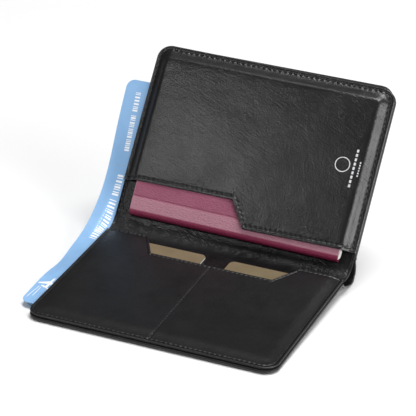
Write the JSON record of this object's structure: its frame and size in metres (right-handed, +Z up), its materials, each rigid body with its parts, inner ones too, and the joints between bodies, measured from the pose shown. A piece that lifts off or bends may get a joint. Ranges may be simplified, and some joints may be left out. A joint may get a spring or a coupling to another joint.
{
  "type": "passport holder",
  "caption": "Folding leather passport holder, shown open, with a stepped passport pocket, a notched card pocket and a long pocket for a boarding pass.",
  "frame": {"origin": "on the table under the middle of the object's box, with the holder standing open", "axes": "+X along the fold towards the viewer's right, +Y from the lower half's free edge towards the upper half's back, +Z up"},
  "size_m": [0.154, 0.1712, 0.0966],
  "materials": {
    "outer_leather": "satin",
    "panel_leather": "satin",
    "lining_leather": "satin",
    "backing_leather": "matte",
    "board": "matte",
    "thread": "matte",
    "passport_cover": "satin",
    "passport_pages": "matte",
    "card": "gloss",
    "pass_paper": "satin"
  },
  "bodies": {
    "lower_half": {"cover_lower": "outer_leather", "stiffener_lower": "board", "backing_lower": "backing_leather", "lining_lower": "lining_leather", "card_panel": "panel_leather", "thread_rim_lower": "thread", "thread_card_mouth": "thread", "thread_divider": "thread"},
    "spine": {"spine_outer": "outer_leather", "spine_lining": "lining_leather", "boarding_pass": "pass_paper"},
    "upper_half": {"cover_upper": "outer_leather", "stiffener_upper": "board", "backing_upper": "backing_leather", "lining_upper": "lining_leather", "passport_panel": "panel_leather", "thread_rim_upper": "thread", "thread_passport_mouth": "thread"},
    "passport": {"passport_cover": "passport_cover", "passport_pages": "passport_pages"},
    "card_left": {"card_left": "card"},
    "card_right": {"card_right": "card"}
  },
  "joints": [
    {"name": "fold_lower", "type": "hinge", "parent": "lower_half", "child": "spine", "pos_m": [0.00705, 0.01678, 0.00971], "axis": [1, 0, 0], "range_deg": [-25.7, 64.3], "deforming": ["spine_outer", "spine_lining", "boarding_pass"]},
    {"name": "fold_upper", "type": "hinge", "parent": "spine", "child": "upper_half", "pos_m": [0.00705, 0.02291, 0.01309], "axis": [1, 0, 0], "range_deg": [-25.7, 64.3]},
    {"name": "passport_slide", "type": "slide", "parent": "upper_half", "child": "passport", "axis": [0, -0.5793, -0.8151], "range_m": [0, 0.0035]},
    {"name": "card_left_slide", "type": "slide", "parent": "lower_half", "child": "card_left", "axis": [0, 0.9984, 0.0557], "range_m": [0, 0.007]},
    {"name": "card_right_slide", "type": "slide", "parent": "lower_half", "child": "card_right", "axis": [0, 0.9984, 0.0557], "range_m": [0, 0.007]}
  ],
  "couplings": [
    {"joint": "fold_upper", "follows": "fold_lower", "ratio": 1}
  ]
}
